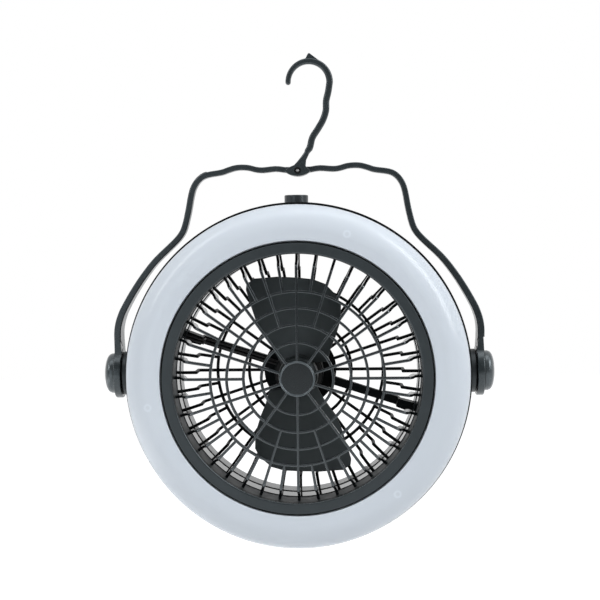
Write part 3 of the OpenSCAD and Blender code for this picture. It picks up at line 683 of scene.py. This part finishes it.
class FAN_OT_bail(FanOperator, bpy.types.Operator):
    """Adds the tilting bail with its pivot eyes"""

    bl_idname = "fan.bail"
    bl_label = "Bail"

    def execute(self, context):
        bail = mould_copy("bail", "carry_bail")
        strap_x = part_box("bail")[1].x - AXIS_X - 6 * MM
        eye_top, neck_top, eye_r, bore_r = 11 * MM, 19 * MM, 13 * MM, 2.2 * MM

        def outside(p):
            above = p.z - TILT_Z
            if abs(p.x - AXIS_X) > strap_x and above < neck_top:
                return above < eye_top and math.hypot(p.y - TILT_Y, above) > eye_r
            return off_fold(p) > bore_r

        round_edges(bail, context.scene.fan_mouldings.strap_round, where=outside)
        smooth(bail)
        finish_piece(bail, "bail", self.finishes["nylon"], "bail_plastic", "bail")
        return {"FINISHED"}


class FAN_OT_caps(FanOperator, bpy.types.Operator):
    """Adds the domed caps over the pivots"""

    bl_idname = "fan.caps"
    bl_label = "Pivot caps"

    def execute(self, context):
        cap_r, rim = context.scene.fan_mouldings.cap_r, context.scene.fan_mouldings.cap_rim
        plug_r, plug_t, seat, edge = 7.95 * MM, 1.3 * MM, 1.6 * MM, 0.45 * MM
        shoulder, steps = seat + rim, 14
        for side, node in ((-1, "left_pivot_cap"), (1, "right_pivot_cap")):
            low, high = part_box(node)
            start, dome = low.x if side > 0 else high.x, high.x - low.x - shoulder
            pivot_y, pivot_z = (low.y + high.y) / 2, (low.z + high.z) / 2
            profile = [(0, seat), (plug_r - plug_t, seat), (plug_r - plug_t, 0), (plug_r, 0), (plug_r, seat)]
            profile += [(cap_r - edge, seat), *arc(cap_r - edge, seat + edge, edge, -60, 0, 2)]
            profile += [(cap_r, shoulder - 0.5 * MM), (cap_r - 0.12 * MM, shoulder - 0.15 * MM)]
            for i in range(steps + 1):
                a = math.pi / 2 * i / steps
                profile.append(((cap_r - 0.25 * MM) * math.cos(a) ** 0.8, shoulder + dome * math.sin(a)))
            points = [Vector((start + side * d, pivot_y, pivot_z + r)) for r, d in profile]
            cap = spun(node.replace("_pivot", ""), points, (0, pivot_y, pivot_z), (1, 0, 0), 72)
            smooth(cap, 50)
            finish_piece(cap, "bail", self.finishes["cap"], "bail_plastic", node)
        return {"FINISHED"}


class FAN_OT_shell(FanOperator, bpy.types.Operator):
    """Adds the rear shell, its pivot bosses and the seat of the dial"""

    bl_idname = "fan.shell"
    bl_label = "Rear shell"

    def execute(self, context):
        shell = mould_copy("rear_housing", "rear_shell")
        boss_x, washer_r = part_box("rear_housing")[1].x - AXIS_X, 11 * MM
        rim_inside, rim_front = LIGHT_R + 0.5 * MM, DATUM_Y - 4.5 * MM

        def outside(p):
            if abs(abs(p.x - AXIS_X) - boss_x) < 0.2 * MM:
                return math.hypot(p.y - TILT_Y, p.z - TILT_Z) > washer_r
            return off_axis(p) > rim_inside and p.y < rim_front

        round_edges(shell, context.scene.fan_mouldings.shell_round, where=outside)
        smooth(shell)
        finish_piece(shell, "fan_body", self.finishes["shell"], "housing_plastic", "rear_housing")
        duct = context.scene.fan_guards.duct_r + 0.2 * MM
        refinish(shell, self.finishes["wall"], lambda f: off_axis(f.center) < duct and abs(f.normal.y) < 0.5)

        rim_r, rim_w = LIGHT_R + context.scene.fan_light.rim_stand, 2.2 * MM
        section = rounded_section(rim_r - rim_w / 2, rim_w, -5 * MM, -3.2 * MM, 0.3 * MM)
        rim = turned("shell_rim", section, 240)
        smooth(rim)
        finish_piece(rim, "fan_body", self.finishes["rear"], "housing_plastic", "rear_housing")
        return {"FINISHED"}


class FAN_OT_liner(FanOperator, bpy.types.Operator):
    """Adds the polished middle stretch of the duct"""

    bl_idname = "fan.liner"
    bl_label = "Duct liner"

    def execute(self, context):
        sizes = context.scene.fan_guards
        liner = mould_copy("inner_frame", "duct_liner")
        edit(liner)
        pick(liner, "verts", lambda v: abs(off_axis(v.co) - sizes.duct_r) < 0.1 * MM)
        wider = 1 + sizes.step / sizes.duct_r
        bpy.ops.transform.resize(value=(wider, 1, wider), center_override=body_point(0, 0, 0))
        close_edit()
        smooth(liner)
        finish_piece(liner, "fan_body", self.finishes["liner"], "gloss_black", "inner_frame")
        return {"FINISHED"}


class FAN_OT_diffuser(FanOperator, bpy.types.Operator):
    """Adds the milky diffuser with the faint marks over its screw bosses"""

    bl_idname = "fan.diffuser"
    bl_label = "Diffuser"

    def execute(self, context):
        sizes = context.scene.fan_light
        crown_r, bulge, wall = sizes.crown_r, sizes.bulge, sizes.wall
        low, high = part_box("diffuser_ring")
        crown_y, back = low.y - DATUM_Y + bulge, high.y - DATUM_Y
        inner, outer = context.scene.fan_guards.bezel_r + sizes.groove, LIGHT_R - 0.1 * MM
        lip, lip_y, rim_y = 0.9 * MM, -22.1 * MM, -5.15 * MM
        inner_skirt, outer_skirt = inner - 0.3 * MM, 98.35 * MM
        profile = [(inner_skirt - wall, back), (inner_skirt - wall, lip_y + 3 * MM), (inner, lip_y + 3 * MM)]
        profile += arc(inner + lip, lip_y, lip, 180, 240, 6)
        profile += arc(crown_r, crown_y, outer - crown_r, 270, 360, 40, bulge)
        profile += [(outer, rim_y), (outer_skirt, rim_y), (outer_skirt, back)]
        profile += [(outer_skirt - wall, back), (outer_skirt - wall, crown_y)]
        profile += arc(crown_r, crown_y, outer - crown_r - wall - 0.5 * MM, 360, 280, 12, bulge - wall)
        gap_r = inner_skirt + 0.1 * MM
        profile += [(gap_r, crown_y - bulge + wall + 1.6 * MM), (gap_r, back)]
        ring = turned("light_diffuser", profile, 360)
        mesh = edit(ring)
        width, front = 1.9 * MM, DATUM_Y + crown_y - 2 * MM
        for centre in boss_places(sizes):
            for vertex in mesh.verts:
                away = math.hypot(vertex.co.x - centre.x, vertex.co.z - centre.z)
                if away < 3 * width and vertex.co.y < front and vertex.normal.y < -0.2:
                    vertex.co.y += sizes.sink_depth * math.exp(-((away / width) ** 2))
        bmesh.update_edit_mesh(ring.data)
        close_edit()
        smooth(ring, 35)
        finish_piece(ring, "fan_body", self.finishes["milky"], "diffuser", "diffuser_ring")
        return {"FINISHED"}


def rounded_section(mid, width, front, back, radius):
    """A rectangle of (radius, depth) with rounded corners."""
    low, high = mid - width / 2 + radius, mid + width / 2 - radius
    front, back = front + radius, back - radius
    corners = ((low, front, 180), (high, front, 270), (high, back, 0), (low, back, 90))
    return [point for r, y, start in corners for point in arc(r, y, radius, start, start + 90, 3)]


def rib(name, profile, width, radius, start):
    """One rib in the plane of the fan's axis, on the +X side, from the start radius to the duct's wall."""
    points = [body_point(start if r is None else r, y, -width / 2) for r, y in profile]
    made = pushed(name, points, (0, 0, width))
    is_sharp = sharp(60)

    def beside(edge):
        on_side = max(abs(face.normal.z) for face in edge.link_faces) > 0.5
        beyond_start = min(v.co.x for v in edge.verts) > AXIS_X + start + 0.01 * MM
        is_long = abs(edge.verts[0].co.x - edge.verts[1].co.x) > 2 * MM
        return is_sharp(edge) and on_side and (beyond_start or is_long)

    edit(made)
    pick(made, "edges", beside)
    bpy.ops.mesh.bevel(offset=radius, segments=3, profile=0.5, affect="EDGES", clamp_overlap=False)
    close_edit()
    return made


def ribs(name, profile, width, radius, start, turns, count):
    """Sets of equal ribs evenly round the fan, one set for each turn in degrees."""
    first = rib(name, profile, width, radius, start)
    made = [turned_copy(first, 90 + turn + i * 360 / count) for turn in turns for i in range(count)]
    bpy.data.objects.remove(first)
    return made


# Outlines of a rib and of the bridge as (radius, depth) in millimetres; a rib starts where it is told to
FRONT_RIB = [
    (None, -22.2), (62.6, -22.2), (63.6, -22.1), (64.4, -21.8), (65.1, -21.2), (65.6, -20.3),
    (66.1, -19.2), (66.4, -18), (67.2, -14.6), (67.7, -12.9), (68.4, -11.8), (69.6, -11), (72.2, -10.3),
    (72.2, -3.6), (67.6, -3.2), (66.2, -2.8), (65.2, -5.5), (64, -12), (63.5, -15.2), (63, -17.2),
    (62.4, -18.4), (61.6, -19), (60, -19.4), (None, -19.4),
]  # fmt: skip
REAR_RIB = [
    (None, 35.4), (60.2, 35.4), (60.9, 35.2), (61.2, 34.8), (61.3, 34), (61.3, 20.9), (61.5, 20.3), (62, 20),
    (71, 20), (71, 23.4), (64.4, 23.8), (63.6, 24.1), (63.4, 24.8), (63.2, 38), (62.9, 38.5), (62.4, 38.8),
    (None, 38.8),
]  # fmt: skip
BRIDGE = [(20, 33), (61.4, 33), (61.4, 20.1), (70.9, 20.1), (70.9, 33), (63, 33), (63, 38.6), (20, 38.6)]


def in_metres(profile):
    return [(None if r is None else r * MM, y * MM) for r, y in profile]


class FAN_OT_front_guard(FanOperator, bpy.types.Operator):
    """Adds the bezel, the web of rings and spokes, and the hub"""

    bl_idname = "fan.front_guard"
    bl_label = "Front guard"

    def execute(self, context):
        sizes, finishes = context.scene.fan_guards, self.finishes
        duct_r, bezel_r, hub_r = sizes.duct_r, sizes.bezel_r, sizes.hub_r
        bezel_y, inner = -23 * MM, duct_r + sizes.sleeve_t
        lip, chamfer, ledge = 1.2 * MM, 0.35 * MM, 0.75 * MM
        corner_r, ledge_y, rear_y = bezel_r - ledge, bezel_y + 1.2 * MM, bezel_y + 4 * MM
        profile = arc(duct_r + lip, bezel_y + lip, lip, 180, 270, 6)
        profile += arc(corner_r - chamfer, bezel_y + chamfer, chamfer, 270, 360, 4)
        profile += [(corner_r, ledge_y), (bezel_r - 0.15 * MM, ledge_y), (bezel_r, ledge_y + 0.15 * MM)]
        profile += [(bezel_r, bezel_y + 3.6 * MM), (inner, bezel_y + 3.8 * MM)]
        profile += [(inner, rear_y), (duct_r, rear_y)]
        bezel = turned("guard_bezel", profile, 288)
        smooth(bezel)
        finish_piece(bezel, "fan_body", finishes["bezel"], "guard_plastic", "front_grille")

        def depth(face):
            return face.center.y - DATUM_Y - bezel_y

        # Painted shadow line: the neck behind the lip and the ledge round the bezel take the black guard
        # plastic.
        def painted_shadow_faces(face):
            in_neck = off_axis(face.center) < duct_r + 0.1 * MM and depth(face) > lip
            return in_neck or (off_axis(face.center) > corner_r - 0.05 * MM and depth(face) > chamfer)

        refinish(bezel, finishes["rear"], painted_shadow_faces)
        lip_r = duct_r + 0.6 * lip
        refinish(bezel, finishes["wall"], lambda f: off_axis(f.center) < lip_r and depth(f) < lip)

        sleeve_r, outer = duct_r + 2 * sizes.step, inner - 0.02 * MM
        front, back = bezel_y + 3.8 * MM, 1.85 * MM
        profile = [(sleeve_r, front), (outer, front), (outer, back), (sleeve_r, back)]
        sleeve = turned("duct_sleeve", profile, 240)
        smooth(sleeve)
        finish_piece(sleeve, "fan_body", finishes["sleeve"], "guard_plastic", "front_grille")

        step, profile, web = 360 / sizes.spokes, in_metres(FRONT_RIB), []
        rings = (20.5 * MM, 30.7 * MM, 40.3 * MM, 49.7 * MM)
        for start, turns in (
            (hub_r - 1 * MM, (0,)),
            (rings[1], (step / 2,)),
            (rings[3], (step / 4, step * 3 / 4)),
        ):
            web += ribs("guard_rib", profile, sizes.rib_w, sizes.rib_round, start, turns, sizes.spokes)
        front, back, set_back = -22.2 * MM, -19.4 * MM, 0.12 * MM
        for r in rings:
            section = rounded_section(r, sizes.rib_w, front + set_back, back - set_back, sizes.rib_round)
            web.append(turned("guard_ring", section))

        bead, face_y, under_y = 0.7 * MM, bezel_y + 0.8 * MM, back - 0.2 * MM
        hub = [(0, face_y), (hub_r - 2 * bead, face_y), *arc(hub_r - bead, bezel_y + bead, bead, 180, 360, 8)]
        disc = turned("guard_hub", [*hub, (hub_r, under_y), (0, under_y)], 96)
        smooth(disc)
        finish_piece(disc, "fan_body", finishes["hub"], "guard_plastic", "front_grille")
        # Painted highlight: the rim bead takes the lighter bead plastic.
        refinish(disc, finishes["bead"], lambda f: off_axis(f.center) > hub_r - 2 * bead and depth(f) < bead)
        guard = joined("front_guard", web)
        smooth(guard)
        finish_piece(guard, "fan_body", finishes["web"], "guard_plastic", "front_grille")
        return {"FINISHED"}


class FAN_OT_rear_guard(FanOperator, bpy.types.Operator):
    """Adds the rear web, the motor's seat and the bridge across the duct"""

    bl_idname = "fan.rear_guard"
    bl_label = "Rear guard"

    def execute(self, context):
        sizes = context.scene.fan_guards
        step, profile, web = 360 / sizes.spokes, in_metres(REAR_RIB), []
        rings, seat_r = (31.2 * MM, 50.5 * MM), 22 * MM
        for start, turns in ((seat_r - 1 * MM, (0, step / 2)), (rings[1], (step / 4, step * 3 / 4))):
            web += ribs("rear_rib", profile, sizes.rear_w, sizes.rib_round, start, turns, sizes.spokes)
        for r in rings:
            section = rounded_section(r, sizes.rear_w, 35.52 * MM, 38.68 * MM, sizes.rib_round)
            web.append(turned("rear_ring", section, 120))
        for name, mid, width, front, back in (
            ("motor_seat", seat_r / 2, seat_r, 36.8 * MM, 38.9 * MM),
            ("motor_cup", 13.35 * MM, 2.1 * MM, 11.2 * MM, 37.8 * MM),
        ):
            web.append(turned(name, rounded_section(mid, width, front, back, 0.3 * MM), 96))
        half, wall_r, flare, bridge_turn = 2.5 * MM, 70.9 * MM, 1.2, 162
        bar = [body_point(r, y, -half) for r, y in in_metres(BRIDGE)]
        bridge = pushed("bridge", bar, (0, 0, 2 * half))
        edit(bridge)
        pick(bridge, "verts", lambda v: v.co.x > AXIS_X + wall_r - 1 * MM)
        bpy.ops.transform.resize(value=(1, 1, flare), center_override=body_point(0, 0, 0))
        close_edit()
        round_edges(bridge, 0.35 * MM, limit=40)
        web += [turned_copy(bridge, bridge_turn + turn) for turn in (0, 180)]
        bpy.data.objects.remove(bridge)
        guard = joined("rear_guard", web)
        smooth(guard)
        finish_piece(guard, "fan_body", self.finishes["rear"], "guard_plastic", "rear_grille")
        return {"FINISHED"}


class FAN_OT_blades(FanOperator, bpy.types.Operator):
    """Adds the two-bladed rotor"""

    bl_idname = "fan.blades"
    bl_label = "Blades"

    def execute(self, context):
        rotor = mould_copy("fan_rotor", "fan_blades")
        clear_of_hub, rounding = 13.5 * MM, 0.5 * MM
        round_edges(rotor, rounding, limit=50, where=lambda p: off_axis(p) > clear_of_hub)
        smooth(rotor)
        finish_piece(rotor, "rotor", self.finishes["rotor"], "rotor_plastic", "fan_rotor")
        return {"FINISHED"}


class FAN_OT_dial(FanOperator, bpy.types.Operator):
    """Adds the speed dial"""

    bl_idname = "fan.dial"
    bl_label = "Speed dial"

    def execute(self, context):
        low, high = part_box("speed_knob")
        centre = (low + high) / 2
        r, top = (high.x - low.x) / 2, high.z - low.z
        edge, rim, bore, roof, sunk = 0.6 * MM, 1.3 * MM, 3 * MM, 1.7 * MM, 0.25 * MM
        profile = [(0, top - roof), (bore, top - roof), (bore, 0), (r - 0.2 * MM, 0), (r, 0.2 * MM)]
        profile += arc(r - edge, top - edge, edge, 0, 90, 4)
        profile += [(r - rim, top), (r - rim - sunk, top - sunk), (0, top - sunk)]
        points = [Vector((centre.x + d, centre.y, low.z + z)) for d, z in profile]
        dial = spun("speed_dial", points, centre, (0, 0, 1), 72)
        smooth(dial)
        finish_piece(dial, "knob", self.finishes["dial"], "gloss_black", "speed_knob")
        return {"FINISHED"}


INNER_FINISHES = {
    "zinc": (
        "pivot_bushings", "pivot_screws", "diffuser_screws", "grille_screws", "housing_screws",
        "motor_screws", "battery_clips",
    ),
    "nickel": ("motor_can", "speed_switch", "charging_socket", "motor_shaft", "switch_shaft"),
    "rubber": ("friction_washers", "light_button"),
    "oxide": ("motor_clamp",),
    "worn": ("hook_screw",),
    "white_mask": ("led_board",),
    "green_mask": ("control_board",),
    "phosphor": ("leds",),
    "ferrite": ("motor_magnets",),
    "dial": ("motor_end_cap", "light_switch"),
    "copper": ("motor_armature",),
    "sleeve_blue": ("battery_cells",),
    "wire": ("motor_leads", "battery_leads", "led_leads"),
}  # fmt: skip


class FAN_OT_inner_parts(FanOperator, bpy.types.Operator):
    """Gives the part's own screws, motor, boards, cells and wires their finishes"""

    bl_idname = "fan.inner_parts"
    bl_label = "Inner parts"

    def execute(self, context):
        for finish, nodes in INNER_FINISHES.items():
            for node in nodes:
                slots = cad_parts[node].data.materials
                slots.clear()
                slots.append(self.finishes[finish])
        return {"FINISHED"}


# ---------- Studio ----------


def area_lamp(name, place, target, size, watts, tint=(1, 1, 1)):
    lamp = bpy.data.objects.new(name, bpy.data.lights.new(name, "AREA"))
    lamp.data.shape = "RECTANGLE"
    lamp.data.size, lamp.data.size_y = size
    lamp.data.energy = watts
    lamp.data.color = tint
    lamp.location = place
    lamp.rotation_mode = "QUATERNION"
    lamp.rotation_quaternion = (Vector(target) - Vector(place)).to_track_quat("-Z", "Y")
    bpy.context.collection.objects.link(lamp)


def make_world(room, behind):
    """Even light, with a white surround that darkens behind the camera for what mirrors it."""
    world = bpy.data.worlds.new("studio")
    world.use_nodes = True
    tree = world.node_tree
    tree.nodes.clear()
    even, seen = (tree.nodes.new("ShaderNodeBackground") for _ in range(2))
    even.inputs["Color"].default_value = (0.97, 0.985, 1, 1)
    even.inputs["Strength"].default_value = room
    seen.inputs["Color"].default_value = (1, 1, 1, 1)
    split = tree.nodes.new("ShaderNodeSeparateXYZ")
    tree.links.new(tree.nodes.new("ShaderNodeTexCoord").outputs["Generated"], split.inputs[0])
    fade = tree.nodes.new("ShaderNodeMapRange")
    for socket, value in (("From Min", -0.75), ("From Max", -0.1), ("To Min", behind), ("To Max", 1)):
        fade.inputs[socket].default_value = value
    tree.links.new(split.outputs["Y"], fade.inputs["Value"])
    from_camera = tree.nodes.new("ShaderNodeLightPath").outputs["Is Camera Ray"]
    tree.links.new(combined(tree, "MAXIMUM", from_camera, fade.outputs["Result"]), seen.inputs["Strength"])
    mix = tree.nodes.new("ShaderNodeMixShader")
    for source, socket in zip((shown_white(tree), even.outputs[0], seen.outputs[0]), mix.inputs):
        tree.links.new(source, socket)
    tree.links.new(mix.outputs[0], tree.nodes.new("ShaderNodeOutputWorld").inputs["Surface"])
    bpy.context.scene.world = world


def floor_finish(tint):
    """Pale floor that is white where nothing shades it."""
    finish = Finish("pale_floor")
    finish.link(finish.tones(finish.span(finish.noise(6, 2), 0, 1), shade(tint, 0.99), tint), "Base Color")
    finish.set(Roughness=0.9, Specular_IOR_Level=0.1, Emission_Color=(1, 1, 1, 1))
    finish.link(combined(finish.tree, "MULTIPLY", shown_white(finish.tree), 0.6), "Emission Strength")
    return finish.material


class FAN_OT_stage(FanOperator, bpy.types.Operator):
    """Sets the camera, the lamps, the world and the floor"""

    bl_idname = "fan.stage"
    bl_label = "Studio"

    def execute(self, context):
        scene = context.scene
        levels = scene.fan_stage
        scene.view_settings.view_transform = "Standard"

        camera = bpy.data.objects.new("camera", bpy.data.cameras.new("camera"))
        camera.data.lens = 80.5
        camera.data.sensor_width = 36
        camera.data.clip_start, camera.data.clip_end = 0.05, 50
        right = Vector((0.99948, 0.03032, -0.01086))
        up = Vector((0.00960, 0.04123, 0.99910))
        back = Vector((0.03074, -0.99869, 0.04092))
        turn = Matrix((right, up, back)).transposed().to_4x4()
        place = body_point(25.43 * MM, -780.89 * MM, 75.97 * MM)
        camera.matrix_world = Matrix.Translation(place) @ turn
        context.collection.objects.link(camera)
        scene.camera = camera

        make_world(levels.room, levels.behind)
        centre = body_point(0, 0, 40 * MM)
        area_lamp("top_lamp", (0.1, -0.2, 0.95), centre, (1.2, 0.5), levels.key, (0.96, 0.98, 1))
        area_lamp("right_lamp", (0.78, -0.42, 0.42), centre, (0.3, 0.9), levels.fill, (0.97, 0.985, 1))
        area_lamp("left_lamp", (-0.72, -0.42, 0.48), centre, (0.1, 0.8), levels.fill * 0.4)
        area_lamp("low_lamp", (-0.6, -0.13, -0.5), centre, (0.8, 0.3), levels.front * 0.75)
        area_lamp("front_lamp", (-0.5, -1.05, -0.1), centre, (0.5, 0.8), levels.front, (0.9, 0.96, 1))

        deselect()
        bpy.ops.mesh.primitive_plane_add(size=8, location=(0, 0, CAD_BOX[0].z - levels.floor_drop))
        floor = context.object
        floor.name = floor.data.name = "floor"
        bpy.ops.object.transform_apply(location=True, rotation=True, scale=True)
        floor.data.materials.append(floor_finish(scene.fan_colours.floor))
        return {"FINISHED"}


# ---------- Add-on ----------

PIECES = (
    FAN_OT_stage,
    FAN_OT_hook,
    FAN_OT_bail,
    FAN_OT_caps,
    FAN_OT_shell,
    FAN_OT_liner,
    FAN_OT_diffuser,
    FAN_OT_front_guard,
    FAN_OT_rear_guard,
    FAN_OT_blades,
    FAN_OT_dial,
    FAN_OT_inner_parts,
)


class FAN_PT_panel(bpy.types.Panel):
    """Lists the pieces of the fan and their sizes"""

    bl_idname = "FAN_PT_panel"
    bl_label = "Camping fan"
    bl_space_type = "VIEW_3D"
    bl_region_type = "UI"
    bl_category = "Camping fan"

    def draw(self, context):
        for piece in PIECES:
            self.layout.operator(piece.bl_idname)
        for group, kind in GROUPS.items():
            box = self.layout.box()
            for name in kind.__annotations__:
                box.prop(getattr(context.scene, group), name)


def register():
    for group, kind in GROUPS.items():
        bpy.utils.register_class(kind)
        setattr(bpy.types.Scene, group, bpy.props.PointerProperty(type=kind))
    for kind in (*PIECES, FAN_PT_panel):
        bpy.utils.register_class(kind)


def unregister():
    for kind in reversed((*PIECES, FAN_PT_panel)):
        bpy.utils.unregister_class(kind)
    for group, kind in GROUPS.items():
        delattr(bpy.types.Scene, group)
        bpy.utils.unregister_class(kind)


def main():
    register()
    for piece in PIECES:
        getattr(bpy.ops.fan, piece.bl_idname.split(".")[1])()
    bpy.context.view_layer.update()


if __name__ == "__main__":
    main()
